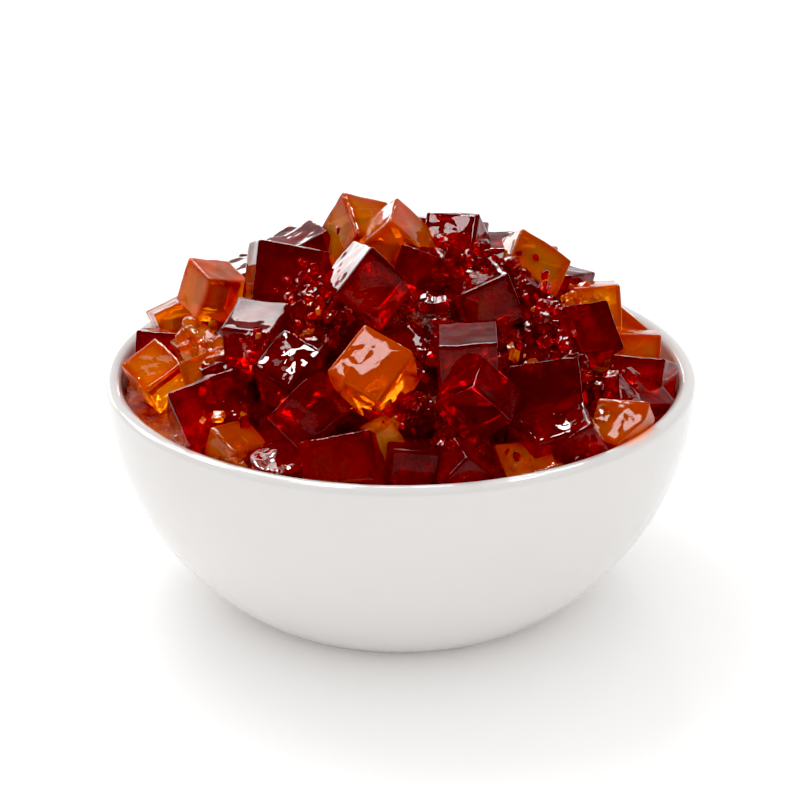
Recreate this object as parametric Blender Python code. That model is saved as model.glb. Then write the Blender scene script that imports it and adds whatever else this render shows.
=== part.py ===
"""A white glazed bowl heaped with cut jelly cubes.

Metres, +Z up. The bowl stands on z = 0 with its axis on the Z axis, and -Y is its front.
The bowl is one turned solid. The heap is one solid out to its uneven outline: a turned mound
joined to every cube that lies on it, and trimmed to the room that the bowl leaves.
"""

import math
import random

import bmesh
import bpy
from mathutils import Matrix, Vector

MM = 0.001

# The bowl: half an ellipse turned round Z, with a rounded lip and a low foot ring.
RIM_RADIUS = 0.075
BOWL_HEIGHT = 0.060
FOOT_RADIUS = 0.0436
WALL = 0.0042
LIP_RADIUS = WALL / 2
LIP_CENTRE = (RIM_RADIUS - LIP_RADIUS, BOWL_HEIGHT - LIP_RADIUS)
FLOOR_LEVEL = 0.0052
FLOOR_RADIUS = 0.034
CORNER_HEIGHT = 0.010
FOOT_EDGE_RADIUS = 0.0008
FOOT_RING_WIDTH = 0.0045
FOOT_RECESS = 0.0015
BOWL_SEGMENTS = 56
WALL_STEPS = 7
LIP_STEPS = 6
CORNER_STEPS = 3

# The heap: cube centres follow a dome, and a mound fills the space under them.
GAP_TO_BOWL = 0.0003
DOME_RADIUS = 0.062
DOME_BASE = 0.061
DOME_RISE = 0.031
MOUND_BELOW_DOME = 0.004
GEL_LEVEL = 0.0545
MOUND_RINGS = 6
MOUND_SEGMENTS = 29
HEAP_TOP_LIMIT = 0.115
CUBE_BEVEL = 0.0009
CORNER_JITTER = 0.00045
CORNER_SEED = 12
BACK_SEED = 11

# The cubes of the front and the crest, each set by hand on the dome: its place across, back
# and up in mm, its turn about Z, its lean and the direction that it leans towards in degrees
# (0 is +X, 90 is +Y), and its width, depth and height in mm.
CUBES = (
    (-10, 8, 91.5, 22, 33, -34, 13.5, 14.5, 14),
    (0, 0, 92, -10, 44, -177, 12.5, 13.5, 17),
    (14, 6, 88.5, -14, 41, -110, 14, 14, 14.5),
    (32, 8, 82.5, 19, 54, 61, 16, 14.5, 11.5),
    (50, 6, 73, 0, 16, 103, 11.5, 14, 12),
    (61, 6, 60.5, 0, 16, 82, 11, 12, 11.5),
    (61, -10, 59, -26, 30, 75, 14, 12, 11.5),
    (45, -15, 73.5, 36, 42, 117, 13, 12, 13),
    (-47.5, 6, 77.5, 33, 18, 0, 12.5, 12, 12),
    (-28.5, -5, 85.6, 14, 26, 70, 18, 13, 15),
    (-23, 12, 84, 20, 24, -172, 12, 13.5, 14),
    (-8, -22, 89.5, 15, 46, 29, 15, 15, 14),
    (6, -6, 86.5, -11, 20, 24, 14, 14.5, 13),
    (21, -20, 84.5, 13, 21, 170, 13, 14, 12.5),
    (25, 2, 80, 30, 20, -100, 12, 12, 12),
    (31, -9, 76, 34, 49, 78, 12, 13, 12),
    (-34, -30, 78.5, -17, 13, -107, 13, 14, 14),
    (-50, -8, 66, 30, 20, -140, 10, 10, 9),
    (-57.5, 12, 66.5, 20, 24, 160, 11.5, 12, 10.5),
    (-61, 3, 62, -8, 18, 75, 11, 13, 11),
    (-60.5, -13, 62, 37, 34, -110, 11.5, 12, 10.5),
    (-47, -24, 65, 10, 39, -112, 10, 10, 11),
    (-41, -33, 65, 35, 20, -120, 11, 11, 11),
    (-25.5, -43, 74.5, -41, 32, -102, 12, 13, 14.5),
    (-44.5, -41, 63.5, 27, 46, -82, 18, 14, 15),
    (-20.5, -52, 69, -18, 44, 3, 12, 14.5, 14),
    (-20, -28, 71, 40, 15, -100, 12, 12, 12),
    (-6, -48, 76.5, -38, 38, -102, 14.5, 15, 14.5),
    (2, -31, 73, 35, 15, -90, 12, 13, 12),
    (16, -43, 78.5, 0, 4, -148, 14, 14, 14),
    (32, -27, 70, 25, 20, -60, 12, 12, 12),
    (33.5, -41, 69.5, 10, 25, 110, 17, 13, 14),
    (18, -51, 71.5, -24, 44, -174, 14, 11, 13.5),
    (53, -31, 62, -6, 43, -163, 8, 10, 9),
    (40, -48, 60.5, 8, 33, -150, 14, 14, 12),
    (53, -43, 59.5, -20, 36, -115, 13, 12, 12),
    (14.5, -63, 59, 18, 40, 10, 11.5, 13, 10),
    (-12, -62, 59.5, -19, 36, 102, 17.5, 14, 13.5),
    (-3.5, -58, 65, 16, 30, 175, 7, 9, 9),
    (-38.5, -53, 59.5, 39, 18, -44, 10, 10, 10),
    (-48, -45, 56, 20, 15, -130, 9, 9, 9),
    (-28, -58, 56, 15, 20, -100, 13, 12, 11),
    (2, -62, 60, 12, 13, 51, 11.5, 12, 11),
    (0, -50, 64, 20, 15, -90, 13, 13, 12),
    (29, -58, 55.5, 15, 20, -70, 13, 12, 11),
    (33, -51, 61.5, 35, 15, -60, 12, 12, 11),
    (60, -21, 56.5, 30, 20, -30, 11, 12, 11),
)

# The cubes of the back lie in rows round the dome, uneven by up to the amounts given.
BACK_ROWS = ((0.060, 9), (0.045, 7), (0.030, 5), (0.015, 2))
BACK_FROM = 12.0
BACK_TO = 168.0
BACK_SIZE = 0.0140
BACK_SIZE_JITTER = 0.0013
BACK_SHIFT = 0.0015
BACK_LEAN = 32.0
BACK_LEAN_JITTER = 14.0
BACK_TOWARDS_JITTER = 35.0
BACK_TURN = 45.0
BACK_SINK = 0.0035


def arc(centre, radius, start, end, steps):
    """Points of an arc in the (radius, height) plane, with both ends; angles in degrees."""
    angles = [math.radians(start + (end - start) * i / steps) for i in range(steps + 1)]
    return [(centre[0] + radius * math.cos(a), centre[1] + radius * math.sin(a)) for a in angles]


def wall_depth():
    """The vertical half-axis of the outer wall's ellipse, which meets the foot at z = 0."""
    return LIP_CENTRE[1] / math.sqrt(1 - (FOOT_RADIUS / RIM_RADIUS) ** 2)


def wall_radius(height, inset=0.0):
    """Radius of the wall at a height, moved in from the outer face by inset."""
    drop = (LIP_CENTRE[1] - height) / (wall_depth() - inset)
    return (RIM_RADIUS - inset) * math.sqrt(max(0.0, 1 - drop * drop))


def wall_points(low, high, inset, steps):
    """Points down a wall from high to low, closer together where the wall curves most."""
    heights = [low + (high - low) * math.cos(math.pi / 2 * i / steps) for i in range(steps + 1)]
    return [(wall_radius(z, inset), z) for z in heights]


def inner_profile(gap=0.0):
    """The inside of the bowl from just under the lip to the axis, moved in by gap."""
    inset = WALL + gap
    floor = FLOOR_LEVEL + gap
    corner_top = floor + CORNER_HEIGHT
    wall = wall_points(corner_top, LIP_CENTRE[1], inset, WALL_STEPS)
    start, end = Vector(wall[-1]), Vector((FLOOR_RADIUS, floor))
    corner = Vector((wall_radius(floor, inset) - MM, floor))
    rounded = []
    for i in range(1, CORNER_STEPS + 1):
        t = i / CORNER_STEPS
        point = start.lerp(corner, t).lerp(corner.lerp(end, t), t)
        rounded.append((point.x, point.y))
    return wall + rounded + [(0.0, floor)]


def bowl_profile():
    """The bowl's half section: up the inside from the axis, over the lip and down to the foot."""
    inside = inner_profile()[::-1]
    lip = arc(LIP_CENTRE, LIP_RADIUS, 180, 0, LIP_STEPS)[1:-1]
    outside = wall_points(FOOT_EDGE_RADIUS, LIP_CENTRE[1], 0.0, WALL_STEPS)
    ring = FOOT_RADIUS - FOOT_EDGE_RADIUS
    inner_ring = ring - FOOT_RING_WIDTH
    foot = [(ring, 0.0), (inner_ring, 0.0), (inner_ring - FOOT_RECESS, FOOT_RECESS)]
    return inside + lip + outside + foot + [(0.0, FOOT_RECESS)]


def room_profile():
    """The room that the bowl leaves: its inside and all the space over its lip, less a gap."""
    inside = inner_profile(GAP_TO_BOWL)[::-1]
    lip = arc(LIP_CENTRE, LIP_RADIUS + GAP_TO_BOWL, 180, 90, LIP_STEPS // 2)[1:]
    wide = RIM_RADIUS + 0.01
    over = [(wide, lip[-1][1]), (wide, HEAP_TOP_LIMIT), (0.0, HEAP_TOP_LIMIT)]
    return inside + lip + over


def dome(radius):
    """Height of the cube centres at a distance from the axis."""
    return DOME_BASE + DOME_RISE * (1 - (radius / DOME_RADIUS) ** 2)


def mound_profile():
    """The mound under the cubes, wider and deeper than the bowl's room, which trims it."""
    radii = [RIM_RADIUS * i / MOUND_RINGS for i in range(MOUND_RINGS + 1)]
    top = [(r, max(GEL_LEVEL, dome(r) - MOUND_BELOW_DOME)) for r in radii]
    return [(0.0, -MM), (RIM_RADIUS, -MM)] + top[::-1]


def finished(name, mesh):
    """Turns a bmesh into an object of the scene."""
    data = bpy.data.meshes.new(name)
    mesh.to_mesh(data)
    mesh.free()
    made = bpy.data.objects.new(name, data)
    bpy.context.scene.collection.objects.link(made)
    return made


def turned(name, profile, segments):
    """An object made by turning a closed (radius, height) profile round Z."""
    mesh = bmesh.new()
    verts = [mesh.verts.new((r, 0.0, z)) for r, z in profile]
    edges = [mesh.edges.new(pair) for pair in zip(verts, verts[1:])]
    bmesh.ops.spin(
        mesh, geom=verts + edges, cent=(0, 0, 0), axis=(0, 0, 1),
        angle=2 * math.pi, steps=segments, use_merge=True,
    )
    bmesh.ops.remove_doubles(mesh, verts=mesh.verts, dist=1e-6)
    bmesh.ops.recalc_face_normals(mesh, faces=mesh.faces)
    return finished(name, mesh)


def leaning(turn, lean, towards):
    """A turn about Z, then a lean of the top towards a direction; all in degrees."""
    direction = math.radians(towards)
    axis = Vector((-math.sin(direction), math.cos(direction), 0.0))
    return Matrix.Rotation(math.radians(lean), 4, axis) @ Matrix.Rotation(math.radians(turn), 4, "Z")


def add_cube(mesh, centre, turning, size, rng):
    """Adds one cut cube with uneven corners and softened edges."""
    made = bmesh.ops.create_cube(mesh, size=1.0)["verts"]
    place = Matrix.Translation(centre) @ turning
    for vert in made:
        jitter = Vector([rng.uniform(-CORNER_JITTER, CORNER_JITTER) for _ in range(3)])
        vert.co = place @ (Vector(c * s for c, s in zip(vert.co, size)) + jitter)
    edges = list({edge for vert in made for edge in vert.link_edges})
    bmesh.ops.bevel(mesh, geom=edges, offset=CUBE_BEVEL, segments=1, affect="EDGES")


def back_cubes():
    """Centre, turning and size of each cube of the back, row by row."""
    rng = random.Random(BACK_SEED)
    placed = []
    for radius, count in BACK_ROWS:
        for i in range(count):
            share = (i + 0.5) / count
            angle = math.radians(BACK_FROM + (BACK_TO - BACK_FROM) * share)
            out = radius + rng.uniform(-BACK_SHIFT, BACK_SHIFT)
            height = dome(radius) - BACK_SINK + rng.uniform(-BACK_SHIFT, BACK_SHIFT)
            centre = Vector((out * math.cos(angle), out * math.sin(angle), height))
            lean = BACK_LEAN * radius / DOME_RADIUS + rng.uniform(-BACK_LEAN_JITTER, BACK_LEAN_JITTER)
            towards = math.degrees(angle) + rng.uniform(-BACK_TOWARDS_JITTER, BACK_TOWARDS_JITTER)
            turning = leaning(rng.uniform(-BACK_TURN, BACK_TURN), lean, towards)
            size = [BACK_SIZE + rng.uniform(-BACK_SIZE_JITTER, BACK_SIZE_JITTER) for _ in range(3)]
            placed.append((centre, turning, size))
    return placed


def jelly_cubes():
    """All the cubes as one overlapping mesh, which the heap is joined to."""
    rng = random.Random(CORNER_SEED)
    mesh = bmesh.new()
    for across, back, up, turn, lean, towards, *size in CUBES:
        centre = Vector((across, back, up)) * MM
        add_cube(mesh, centre, leaning(turn, lean, towards), [s * MM for s in size], rng)
    for centre, turning, size in back_cubes():
        add_cube(mesh, centre, turning, size, rng)
    return finished("jelly_cubes", mesh)


def as_cutter(tool):
    """Marks an object that only shapes another one."""
    tool.display_type = "WIRE"
    tool.hide_render = True
    return tool


def add_boolean(target, tool, operation):
    """Adds an exact Boolean that also joins what overlaps inside either shape."""
    modifier = target.modifiers.new(operation.lower(), "BOOLEAN")
    modifier.operation = operation
    modifier.solver = "EXACT"
    modifier.use_self = True
    modifier.object = tool


def material(name, colour, roughness, coat=0.0):
    """A Principled material with a base colour, roughness and clear coat."""
    made = bpy.data.materials.new(name)
    made.use_nodes = True
    shader = made.node_tree.nodes["Principled BSDF"]
    shader.inputs["Base Color"].default_value = (*colour, 1.0)
    shader.inputs["Roughness"].default_value = roughness
    shader.inputs["Coat Weight"].default_value = coat
    made.diffuse_color = (*colour, 1.0)
    return made


def build_bowl():
    """The white bowl, smooth except at the foot's edges."""
    bowl = turned("bowl", bowl_profile(), BOWL_SEGMENTS)
    bowl.data.materials.append(material("white_glaze", (0.88, 0.87, 0.86), 0.15, 0.5))
    bowl.data.shade_smooth()
    bowl.data.set_sharp_from_angle(angle=math.radians(35))
    return bowl


def build_heap():
    """The heap of jelly cubes: the mound joined to the cubes, then trimmed to the bowl's room."""
    heap = turned("jelly_heap", mound_profile(), MOUND_SEGMENTS)
    heap.data.materials.append(material("jelly", (0.28, 0.02, 0.008), 0.08))
    room = as_cutter(turned("bowl_room", room_profile(), BOWL_SEGMENTS))
    add_boolean(heap, as_cutter(jelly_cubes()), "UNION")
    add_boolean(heap, room, "INTERSECT")
    return heap


def main():
    for old in list(bpy.data.objects):
        bpy.data.objects.remove(old)
    build_bowl()
    build_heap()


main()
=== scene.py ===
"""A white glazed bowl heaped with cut jelly cubes, ruby and amber.

Metres, +Z up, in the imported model's frame: the bowl stands on z = 0 with its axis on the Z
axis, and -Y is its front. The script is laid out as an add-on. Each piece has an operator,
and main() calls them in order.
"""

import math
import random

import bmesh
import bpy
from mathutils import Euler, Matrix, Vector


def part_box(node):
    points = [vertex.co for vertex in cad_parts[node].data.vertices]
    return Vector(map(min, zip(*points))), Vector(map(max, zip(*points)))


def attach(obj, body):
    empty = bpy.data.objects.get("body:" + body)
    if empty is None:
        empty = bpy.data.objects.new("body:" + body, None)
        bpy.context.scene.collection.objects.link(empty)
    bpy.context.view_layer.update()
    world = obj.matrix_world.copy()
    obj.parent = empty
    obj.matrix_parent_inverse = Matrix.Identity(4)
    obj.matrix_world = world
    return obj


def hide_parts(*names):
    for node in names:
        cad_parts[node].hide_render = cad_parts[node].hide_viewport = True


bl_info = {
    "name": "Bowl of Jelly Cubes",
    "version": (1, 0, 0),
    "blender": (4, 5, 0),
    "location": "View3D > Sidebar > Jelly",
    "description": "Builds a glazed bowl heaped with cut jelly cubes",
    "category": "Object",
}

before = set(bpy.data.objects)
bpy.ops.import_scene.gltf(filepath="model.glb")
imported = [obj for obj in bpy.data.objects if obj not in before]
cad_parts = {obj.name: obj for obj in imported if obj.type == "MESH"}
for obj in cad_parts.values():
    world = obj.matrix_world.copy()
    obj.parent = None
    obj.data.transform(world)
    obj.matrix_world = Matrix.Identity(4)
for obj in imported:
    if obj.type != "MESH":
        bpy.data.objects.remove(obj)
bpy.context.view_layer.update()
BOWL_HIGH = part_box("bowl")[1]
MM = 0.001

# The cubes of the front and the crest, each set on the heap, in mm and degrees:
# kind, place across, back and up, turn about Z, lean and the direction that it leans towards
# (0 is +X, 90 is +Y), its width, depth and height, and how much paler or darker it is.
# The last column is partly each cube's own strength of tint and partly painted light, paler or darker
# as each cube looks lit.
CUBES = (
    ("amber", -10, 8, 91.5, 22, 33, -34, 13.5, 14.5, 14, 0.3),
    ("amber", 0, 0, 92, -10, 44, -177, 12.5, 13.5, 17, -0.1),
    ("ruby", 14, 6, 88.5, -14, 41, -110, 14, 14, 14.5, 0.4),
    ("amber", 32, 8, 82.5, 19, 54, 61, 16, 14.5, 11.5, 0.1),
    ("amber", 50, 6, 73, 0, 16, 103, 11.5, 14, 12, 0.3),
    ("amber", 61, 6, 60.5, 0, 16, 82, 11, 12, 11.5, 0.2),
    ("ruby", 61, -10, 59, -26, 30, 75, 14, 12, 11.5, 0.2),
    ("ruby", 45, -15, 73.5, 36, 42, 117, 13, 12, 13, -0.4),
    ("amber", -47.5, 6, 77.5, 33, 18, 0, 12.5, 12, 12, 0.1),
    ("ruby", -28.5, -5, 85.6, 14, 26, 70, 18, 13, 15, -0.1),
    ("ruby", -23, 12, 84, 20, 24, -172, 12, 13.5, 14, 0.1),
    ("ruby", -8, -22, 89.5, 15, 46, 29, 15, 15, 14, 0),
    ("ruby", 6, -6, 86.5, -11, 20, 24, 14, 14.5, 13, -0.3),
    ("ruby", 21, -20, 84.5, 13, 21, 170, 13, 14, 12.5, 0),
    ("ruby", 25, 2, 80, 30, 20, -100, 12, 12, 12, 0),
    ("ruby", 31, -9, 76, 34, 49, 78, 12, 13, 12, 0.1),
    ("ruby", -34, -30, 78.5, -17, 13, -107, 13, 14, 14, -0.1),
    ("amber", -50, -8, 66, 30, 20, -140, 10, 10, 9, 0.3),
    ("amber", -57.5, 12, 66.5, 20, 24, 160, 11.5, 12, 10.5, 0),
    ("ruby", -61, 3, 62, -8, 18, 75, 11, 13, 11, 0.1),
    ("amber", -60.5, -13, 62, 37, 34, -110, 11.5, 12, 10.5, 0.2),
    ("amber", -47, -24, 65, 10, 39, -112, 10, 10, 11, -0.2),
    ("ruby", -41, -33, 65, 35, 20, -120, 11, 11, 11, 0),
    ("ruby", -25.5, -43, 74.5, -41, 32, -102, 12, 13, 14.5, 0.2),
    ("ruby", -44.5, -41, 63.5, 27, 46, -82, 18, 14, 15, 0),
    ("ruby", -20.5, -52, 69, -18, 44, 3, 12, 14.5, 14, -0.3),
    ("ruby", -20, -28, 71, 40, 15, -100, 12, 12, 12, 0),
    ("amber", -6, -48, 76.5, -38, 38, -102, 14.5, 15, 14.5, -0.6),
    ("ruby", 2, -31, 73, 35, 15, -90, 12, 13, 12, 0),
    ("ruby", 16, -43, 78.5, 0, 4, -148, 14, 14, 14, 0.1),
    ("ruby", 32, -27, 70, 25, 20, -60, 12, 12, 12, 0),
    ("ruby", 33.5, -41, 69.5, 10, 25, 110, 17, 13, 14, -0.5),
    ("ruby", 18, -51, 71.5, -24, 44, -174, 14, 11, 13.5, -0.6),
    ("ruby", 53, -31, 62, -6, 43, -163, 8, 10, 9, -0.3),
    ("ruby", 40, -48, 60.5, 8, 33, -150, 14, 14, 12, 0.6),
    ("amber", 53, -43, 59.5, -20, 36, -115, 13, 12, 12, -0.2),
    ("ruby", 14.5, -63, 59, 18, 40, 10, 11.5, 13, 10, 0),
    ("ruby", -12, -62, 59.5, -19, 36, 102, 17.5, 14, 13.5, 0.9),
    ("amber", -3.5, -58, 65, 16, 30, 175, 7, 9, 9, 0.2),
    ("amber", -38.5, -53, 59.5, 39, 18, -44, 10, 10, 10, -0.2),
    ("amber", -48, -45, 56, 20, 15, -130, 9, 9, 9, -0.2),
    ("ruby", -28, -58, 56, 15, 20, -100, 13, 12, 11, 0.4),
    ("ruby", 2, -62, 60, 12, 13, 51, 11.5, 12, 11, -0.2),
    ("ruby", 0, -50, 64, 20, 15, -90, 13, 13, 12, 0),
    ("amber", 29, -58, 55.5, 15, 20, -70, 13, 12, 11, -0.1),
    ("ruby", 33, -51, 61.5, 35, 15, -60, 12, 12, 11, -0.2),
    ("ruby", 60, -21, 56.5, 30, 20, -30, 11, 12, 11, 0.1),
)

# The cubes of the back lie in rows round the dome: distance from the axis in m, and count.
# The rows span these angles in degrees, where 0 is +X and 90 is +Y.
BACK_ROWS = ((0.060, 9), (0.045, 7), (0.030, 5), (0.015, 2))
BACK_FROM = 12.0
BACK_TO = 168.0
# How uneven the back cubes are: place and size in mm, and in degrees the lean at the dome's
# edge, how far it strays, how far its direction strays, and the turn.
BACK_SHIFT = 1.5
BACK_SIZE_JITTER = 1.3
BACK_LEAN = 32
BACK_LEAN_JITTER = 14
BACK_TOWARDS_JITTER = 35
BACK_TURN = 45

# Where broken jelly lies between the cubes, given in mm: kind, form, place across, back
# and up, spread, how many pieces and how big the largest is.
RUBBLE = (
    ("ruby", "blobs", -25, -12, 85, 6, 26, 5.0),
    ("ruby", "shards", -20, -22, 83, 7, 26, 6.0),
    ("ruby", "blobs", -17, -14, 87, 5, 18, 4.0),
    ("ruby", "blobs", -34, -28, 76, 5, 10, 5.5),
    ("ruby", "shards", -21, -33, 79, 6, 24, 5.0),
    ("amber", "blobs", -51, -5, 70, 4, 9, 9.0),
    ("amber", "shards", -50, -14, 69, 6, 20, 5.5),
    ("ruby", "blobs", 17, 1, 89, 7, 30, 6.0),
    ("ruby", "blobs", 26, -1, 86, 6, 26, 6.0),
    ("ruby", "shards", 29, -12, 83, 7, 26, 6.0),
    ("ruby", "shards", 36, -24, 77, 5, 20, 5.5),
    ("ruby", "shards", 38, -27, 73, 6, 18, 6.0),
    ("ruby", "shards", 7, -23, 85, 5, 20, 4.5),
    ("ruby", "blobs", 1, -51, 70, 5, 18, 5.5),
    ("ruby", "blobs", 6, -53, 68, 5, 18, 5.0),
    ("ruby", "shards", -3, -55, 66, 5, 16, 5.0),
    ("ruby", "shards", 4, -39, 77, 6, 22, 5.0),
    ("amber", "shards", -4, -58, 66, 3, 6, 7.0),
    ("amber", "shards", 30, -38, 76, 5, 14, 4.0),
    ("ruby", "blobs", -30, -57, 58, 6, 18, 5.0),
    ("amber", "blobs", -48, -45, 58, 5, 14, 6.0),
    ("amber", "shards", 30, -57, 58, 7, 20, 6.0),
    ("ruby", "shards", 50, -29, 65, 6, 22, 6.0),
    ("ruby", "blobs", 52, -22, 64, 6, 16, 4.5),
    ("amber", "shards", -46, -20, 70, 6, 22, 6.0),
    ("ruby", "shards", -43, -28, 70, 5, 18, 6.0),
    ("ruby", "blobs", -1, -63, 59, 5, 14, 5.0),
    ("amber", "blobs", 44, -2, 78, 5, 14, 4.0),
    ("amber", "shards", 46, 0, 76, 5, 14, 5.0),
    ("ruby", "shards", 20, -58, 62, 6, 14, 4.5),
    ("ruby", "shards", -37, -47, 66, 5, 14, 4.5),
    ("ruby", "shards", -24, -17, 84, 5, 30, 3.5),
    ("ruby", "shards", -28, -33, 77, 5, 30, 3.5),
    ("ruby", "shards", 3, -52, 70, 5, 30, 3.0),
    ("ruby", "shards", 21, -8, 86, 6, 34, 4.0),
    ("ruby", "blobs", 35, -15, 80, 6, 24, 4.0),
    ("ruby", "shards", 41, -33, 70, 5, 20, 3.5),
    ("ruby", "shards", -15, -27, 83, 4, 24, 3.5),
    ("ruby", "shards", -30, -36, 74, 4, 20, 3.5),
    ("ruby", "blobs", 10, -32, 82, 5, 20, 3.0),
    ("ruby", "shards", 24, -31, 79, 5, 24, 4.0),
    ("amber", "shards", -44, -40, 68, 4, 12, 3.5),
    ("ruby", "shards", 40, -52, 62, 6, 18, 3.0),
    ("amber", "shards", -38, -58, 59, 5, 16, 3.0),
    ("ruby", "shards", -22.5, -12, 90, 3.5, 16, 3.0),
    ("ruby", "shards", -20.5, -20, 87, 4, 20, 3.0),
    ("ruby", "blobs", -19, -28, 85, 3.5, 14, 2.5),
    ("ruby", "shards", -33, -39, 82, 3.5, 18, 3.0),
    ("ruby", "shards", 3, -55, 73, 4, 20, 2.8),
    ("ruby", "blobs", 0, -58, 69, 3.5, 14, 2.8),
    ("ruby", "shards", 12, -1, 93, 4, 18, 3.0),
    ("ruby", "blobs", 18.5, -5, 90, 4, 14, 3.0),
    ("ruby", "shards", 34, -23, 80.5, 4, 20, 3.2),
    ("ruby", "shards", 24, -34, 77, 3.5, 14, 2.8),
    ("ruby", "shards", 9.5, -61, 64.5, 3, 12, 2.8),
    ("amber", "shards", -43, -49, 65.5, 4, 14, 2.8),
)
# How unevenly broken pieces lie and are shaped: their spread in height in mm, how strongly
# small ones outnumber large ones, the least share of its size that a piece is squashed to,
# and the darkest and palest shade.
CRUMB_RISE = 1.3
CRUMB_SMALLNESS = 1.8
CRUMB_SQUASH = 0.55
CRUMB_SHADES = (-0.6, 0.4)

# The bowl's corners and foot, in metres. The underside steps in from the foot ring and up.
CORNER_RISE = 0.010
FLOOR_RADIUS = 0.034
FOOT_EDGE = 0.0008
FOOT_DRAFT = 0.0002
FOOT_RING = 0.0045
FOOT_RECESS = 0.0015
FOOT_UNDERSIDE = ((0.0, 0.0), (0.0008, 0.0006), (FOOT_RECESS, FOOT_RECESS))
WALL_STEPS = 24
OUTSIDE_STEPS = 30
CORNER_STEPS = 8
LIP_STEPS = 14
FOOT_STEPS = 4

# The core: its steps, its room to the bowl in metres, and the relief of its packed surface.
CORE_SEGMENTS = 200
CORE_TOP_STEPS = 44
CORE_WALL_STEPS = 12
CORE_INSET = 0.0012
CORE_CORNER_RISE = 0.012
CORE_LIFT = 0.0015
CORE_FLOOR_RADIUS = 0.036
CORE_RELIEF = 0.0022
CORE_RELIEF_SCALE = 190.0

# The pieces of jelly: points along a cube's side and a broken piece's, how finely a round
# lump is divided, and bends and waves to a metre. Over the rim, where the drop from it is
# negative, the room that holds the pieces widens by this share of the drop.
CUBE_STEPS = 17
SHARD_STEPS = 6
BLOB_SUBDIVISIONS = 3
SKEW_SCALE = 75.0
WAVE_SCALE = 260.0
ROOM_OVER_RIM = -0.6

# The skin of cut cubes and of wet crumbs: its index and specular level, its ripples to a
# metre, the least share of them that shows, and their height in metres.
CUT_SKIN = {"ior": 1.34, "specular": 0.35, "ripples": 240.0, "least": 0.1, "height": 0.0004}
WET_SKIN = {"ior": 1.45, "specular": 1.0, "ripples": 420.0, "least": 0.3, "height": 0.0018}
RUBY_MILK = 0.11
AMBER_MILK = 0.30
# Painted light: a piece pales along this direction from its centre, by its length for each metre,
# as painted glow on its lower side and painted shade on its top.
PAINTED_LIGHT_WAY = (-14.0, -8.0, -34.0)
# How far a piece's shade moves its tint; for the front cubes that shade is partly painted light.
SHADE_SHARE = 0.6
# Painted shade along each piece's edges: how sharply it gathers there, and how dark it is.
PAINTED_EDGE_SHADE_SHARPNESS = 9.0
PAINTED_EDGE_SHADE_DARKNESS = -0.55
# The core's painted glow: its paleness at the table, and how it changes for each metre up.
CORE_PAINTED_GLOW_AT_TABLE = 1.45
CORE_PAINTED_GLOW_PER_METRE_UP = -22.0
# Noise in the materials, in features to a metre, and the relief that it makes, in metres.
GLAZE_TONE, GLAZE_GLOSS, GLAZE_WAVES = 35.0, 220.0, 90.0
GLAZE_RELIEF = 0.00012
JELLY_CLOUDS, JELLY_GLOSS, JELLY_STILLNESS = 110.0, 210.0, 70.0
CORE_BLOTCHES, CORE_GLOSS, CORE_GRAIN = 120.0, 600.0, 420.0
CORE_GRAIN_RELIEF = 0.0016

# The lights. The softboxes and the sparkles are for gloss and cast no light on matt surfaces,
# and the key light does both. Each has its azimuth (0 is +Y, 90 is +X) and elevation in
# degrees, its distance and size in metres, and the brightness of its face, where 1 is white.
GLOSS_LIGHTS = (
    ("back_low_softbox", -22.0, 8.0, 1.0, (1.00, 0.20), 5.0),
    ("back_left_softbox", -60.0, 34.0, 0.9, (0.40, 0.50), 4.0),
    ("back_top_softbox", -14.0, 52.0, 1.0, (0.50, 0.40), 10.0),
    ("left_top_softbox", -112.0, 73.0, 1.0, (0.16, 0.20), 16.0),
)
SPARKLE_WAYS = (
    (-75.0, 50.0), (-67.0, 76.0), (-30.0, 68.0), (12.0, 40.0), (40.0, 55.0), (75.0, 66.0),
)
SPARKLE = (1.0, (0.09, 0.09), 60.0)
KEY_LIGHT = ("key_softbox", -40.0, 60.0, 1.1, (0.42, 0.42), 3.2)
LIGHTS_AIM = (0.0, 0.0, 0.07)
# The surround in reflections: its level at the sides, and its change to the back and the top.
SKY_SIDES, SKY_TO_BACK, SKY_TO_TOP = 0.35, 0.5, -0.3
CAMERA_AIM = (0.0, 0.0, 0.030)
SENSOR_WIDTH_MM = 36.0
FLOOR_HALF = 6.0
BLACK_LEVEL = 0.014


# ---------------------------------------------------------------- settings


def length_setting(label, text, default):
    """A setting in metres."""
    return bpy.props.FloatProperty(name=label, description=text, default=default, unit="LENGTH")


def colour_setting(label, text, default):
    """A setting that is a colour."""
    return bpy.props.FloatVectorProperty(
        name=label, description=text, default=default, size=3, subtype="COLOR",
    )


class BowlSettings(bpy.types.PropertyGroup):
    """Sizes of the bowl."""

    rim_radius: length_setting("Rim radius", "Outer radius of the lip", BOWL_HIGH.x)
    height: length_setting("Height", "From the table to the top of the lip", BOWL_HIGH.z)
    foot_radius: length_setting("Foot radius", "Outer radius of the foot", 0.0436)
    wall: length_setting("Wall", "Thickness of the wall, twice the lip's radius", 0.0042)
    floor_level: length_setting("Floor level", "Height of the inside floor", 0.0052)
    segments: bpy.props.IntProperty(
        name="Segments", description="Steps round the bowl", default=160, min=24,
    )
    glaze_colour: colour_setting("Glaze colour", "Colour of the white glaze", (0.765, 0.745, 0.73))


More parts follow.
